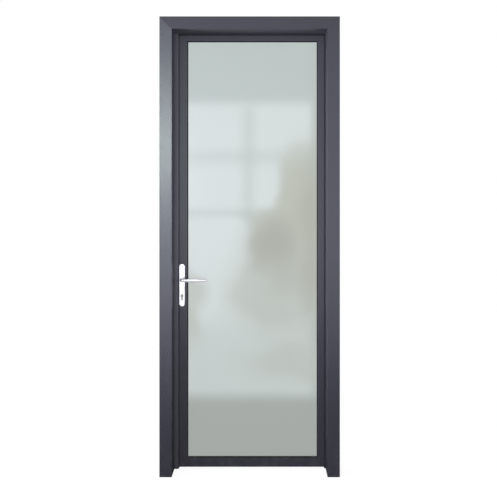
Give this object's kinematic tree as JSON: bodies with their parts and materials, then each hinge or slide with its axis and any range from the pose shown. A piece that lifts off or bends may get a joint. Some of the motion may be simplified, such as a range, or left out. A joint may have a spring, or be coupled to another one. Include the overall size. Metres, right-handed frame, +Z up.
{
  "type": "glazed entrance door with frame",
  "caption": "Slim dark aluminium door leaf with one frosted pane, hung in a three-sided casing frame, with lever handles, latch, dead bolt and key cylinder.",
  "frame": {"origin": "on the floor under the middle of the whole door's box", "axes": "+X to the hinge side seen from the front, +Y into the room that the leaf opens to, +Z up"},
  "size_m": [0.94, 0.216, 2.4],
  "materials": {
    "powder_coat": "matt anthracite powder coat",
    "black_rubber": "matt",
    "zinc_steel": "zinc plated",
    "satin_steel": "satin",
    "satin_silver": "satin silver",
    "mill_aluminium": "mill",
    "nickel_brass": "nickel plated",
    "frosted_glass": "frosted"
  },
  "bodies": {
    "frame": {"strike_jamb": "powder_coat", "hinge_jamb": "powder_coat", "head_jamb": "powder_coat", "stop_strip": "powder_coat", "back_casing_strike": "powder_coat", "back_casing_hinge": "powder_coat", "back_casing_head": "powder_coat", "frame_corner_keys": "zinc_steel", "stop_gasket_strike": "black_rubber", "stop_gasket_hinge": "black_rubber", "stop_gasket_head": "black_rubber", "strike_plate": "satin_steel", "strike_box": "zinc_steel", "strike_screws": "zinc_steel", "hinge_low_frame_wing": "satin_steel", "hinge_mid_frame_wing": "satin_steel", "hinge_top_frame_wing": "satin_steel", "hinge_low_pin": "zinc_steel", "hinge_mid_pin": "zinc_steel", "hinge_top_pin": "zinc_steel", "hinge_frame_screws": "zinc_steel"},
    "leaf": {"lock_stile": "powder_coat", "hinge_stile": "powder_coat", "top_rail": "powder_coat", "bottom_rail": "powder_coat", "leaf_corner_blocks": "mill_aluminium", "corner_block_bolts": "zinc_steel", "glass_pane": "frosted_glass", "setting_blocks": "black_rubber", "front_glazing_gasket": "black_rubber", "back_glazing_gasket": "black_rubber", "bead_lock": "powder_coat", "bead_hinge": "powder_coat", "bead_top": "powder_coat", "bead_bottom": "powder_coat", "hinge_low_leaf_wing": "satin_steel", "hinge_mid_leaf_wing": "satin_steel", "hinge_top_leaf_wing": "satin_steel", "hinge_leaf_screws": "zinc_steel", "lock_case": "zinc_steel", "lock_case_cover": "zinc_steel", "lock_lugs": "zinc_steel", "forend": "satin_steel", "forend_screws": "zinc_steel", "outer_plate": "satin_silver", "inner_plate": "satin_silver", "plate_bolts": "zinc_steel", "cylinder_body": "nickel_brass", "cylinder_screw": "zinc_steel", "latch_spring": "zinc_steel"},
    "handle": {"outer_lever": "satin_silver", "inner_lever": "satin_silver", "spindle": "zinc_steel", "follower": "zinc_steel", "grub_screws": "zinc_steel"},
    "latch": {"latch_bolt": "satin_steel"},
    "key_core": {"outer_plug": "nickel_brass", "inner_plug": "nickel_brass", "cam": "zinc_steel"},
    "bolt": {"dead_bolt": "satin_steel"}
  },
  "joints": [
    {"name": "leaf_swing", "type": "hinge", "parent": "frame", "child": "leaf", "pos_m": [0.42, 0.0615, 1.17], "axis": [0, 0, -1], "range_deg": [0, 170]},
    {"name": "lever_turn", "type": "hinge", "parent": "leaf", "child": "handle", "pos_m": [-0.365, 0.0275, 1.016], "axis": [0, 1, 0], "range_deg": [0, 45], "stiffness_Nm_per_rad": 1.5, "springref_deg": -34.38},
    {"name": "latch_slide", "type": "slide", "parent": "leaf", "child": "latch", "axis": [1, 0, 0], "range_m": [0, 0.012], "deforming": ["latch_spring"]},
    {"name": "bolt_throw", "type": "slide", "parent": "leaf", "child": "bolt", "axis": [-1, 0, 0], "range_m": [0, 0.02]},
    {"name": "key_turn", "type": "hinge", "parent": "leaf", "child": "key_core", "pos_m": [-0.365, 0.0275, 0.93], "axis": [0, 1, 0], "range_deg": [0, 360]}
  ],
  "couplings": [
    {"joint": "latch_slide", "follows": "lever_turn", "m_per_rad": 0.0152},
    {"joint": "key_turn", "follows": "bolt_throw", "rad_per_m": 314.1}
  ]
}
